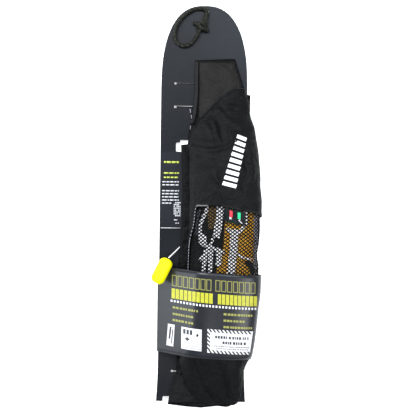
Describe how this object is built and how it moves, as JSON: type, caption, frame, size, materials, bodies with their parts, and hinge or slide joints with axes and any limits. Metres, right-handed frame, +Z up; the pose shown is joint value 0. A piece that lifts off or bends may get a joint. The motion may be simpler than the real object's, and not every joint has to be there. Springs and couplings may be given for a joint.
{
  "type": "inflatable belt pack on display card",
  "caption": "Compact waist-worn inflatable belt pack: padded cloth pouch with a net front over a folded bladder, pull toggle, and waist belt, sleeved on a tall hanging display card.",
  "frame": {"origin": "under the middle of the part, cords left out, on the surface that it lies on", "axes": "+Y along the card to its hanging end, +X across the card, +Z up through the pouch from the card's back"},
  "size_m": [0.1508, 0.5588, 0.0508],
  "materials": {
    "card": "satin slate grey",
    "leaflet": "coated, dark",
    "sleeve": "coated, dark grey",
    "webbing": "woven, black",
    "buckle": "moulded, black",
    "pouch_cloth": "coated nylon, black",
    "net": "knitted net, black",
    "bladder_cloth": "coated cloth, golden yellow",
    "fold_cloth": "cloth, black",
    "tape": "woven, white",
    "label": "smooth, dark",
    "mark_red": "smooth, red",
    "mark_green": "smooth, green",
    "cord_dark": "braided, dark grey green",
    "cord_white": "braided, white",
    "toggle": "moulded, fluorescent yellow"
  },
  "bodies": {
    "root": {"display_card": "card", "leaflet": "leaflet", "card_sleeve": "sleeve", "waist_belt": "webbing", "belt_buckle": "buckle", "back_panel": "pouch_cloth", "wing_upper": "pouch_cloth", "wing_lower": "pouch_cloth", "wing_binding": "webbing", "cover_upper": "pouch_cloth", "cover_lower": "pouch_cloth", "mesh_panel": "net", "bladder_roll": "bladder_cloth", "inner_fold": "fold_cloth", "status_label": "label", "status_mark_red": "mark_red", "status_mark_green": "mark_green", "hang_cord": "cord_dark", "cord_knot": "cord_dark", "pull_cord": "cord_white", "pull_toggle": "toggle", "strap_left": "tape", "strap_band": "tape", "strap_cross": "tape", "strap_low_left": "tape", "strap_low_right": "tape", "bladder_stripe": "tape"}
  },
  "joints": []
}
